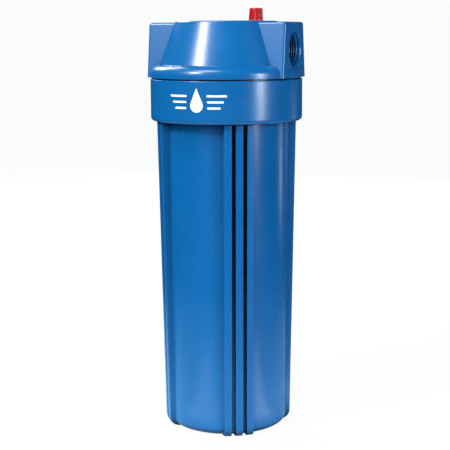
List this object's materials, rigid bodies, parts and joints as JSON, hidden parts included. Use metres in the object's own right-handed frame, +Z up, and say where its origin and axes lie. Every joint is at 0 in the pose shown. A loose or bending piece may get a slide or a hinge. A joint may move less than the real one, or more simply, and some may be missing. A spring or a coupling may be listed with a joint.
{
  "type": "cartridge filter housing",
  "caption": "Upright water filter housing: a head with side pipe ports and a push-button relief valve over a ribbed screw-on sump that holds a drop-in cartridge.",
  "frame": {"origin": "centre of the plane that the sump's feet stand on, on the housing's axis", "axes": "+Z up along the housing's axis; the ports lie along X with the inlet at +X; the badge faces -Y"},
  "size_m": [0.1174, 0.1176, 0.3276],
  "materials": {
    "blue_plastic": "glossy moulded polypropylene, mid blue",
    "white_print": "thin printed film",
    "red_plastic": "glossy moulded plastic",
    "black_rubber": "smooth moulded",
    "steel": "drawn and turned",
    "white_plastic": "natural moulded polypropylene",
    "filter_fabric": "pleated non-woven polyester"
  },
  "bodies": {
    "head": {"head": "blue_plastic", "badge": "white_print", "relief_guide": "blue_plastic", "relief_washer": "steel"},
    "relief": {"relief_button": "red_plastic", "relief_button_seal": "black_rubber", "relief_stem": "steel", "relief_disc": "steel", "relief_seal": "black_rubber", "relief_clip": "steel", "relief_spring": "steel"},
    "cartridge": {"cartridge_media": "filter_fabric", "cartridge_core": "white_plastic", "cartridge_cage": "white_plastic", "cartridge_bottom_cap": "white_plastic", "cartridge_top_cap": "white_plastic", "cartridge_bottom_gasket": "black_rubber", "cartridge_top_gasket": "black_rubber"},
    "sump": {"sump": "blue_plastic", "sump_o_ring": "black_rubber"}
  },
  "joints": [
    {"name": "relief_press", "type": "slide", "parent": "head", "child": "relief", "axis": [0, 0, -1], "range_m": [0, 0.0024], "deforming": ["relief_spring"]},
    {"name": "sump_drop", "type": "slide", "parent": "head", "child": "cartridge", "axis": [0, 0, -1], "range_m": [0, 0.01801]},
    {"name": "sump_turn", "type": "hinge", "parent": "cartridge", "child": "sump", "pos_m": [0, 0, 0.245], "axis": [0, 0, -1], "range_deg": [0, 1080]}
  ],
  "couplings": [
    {"joint": "sump_drop", "follows": "sump_turn", "m_per_rad": 0.00095493}
  ]
}
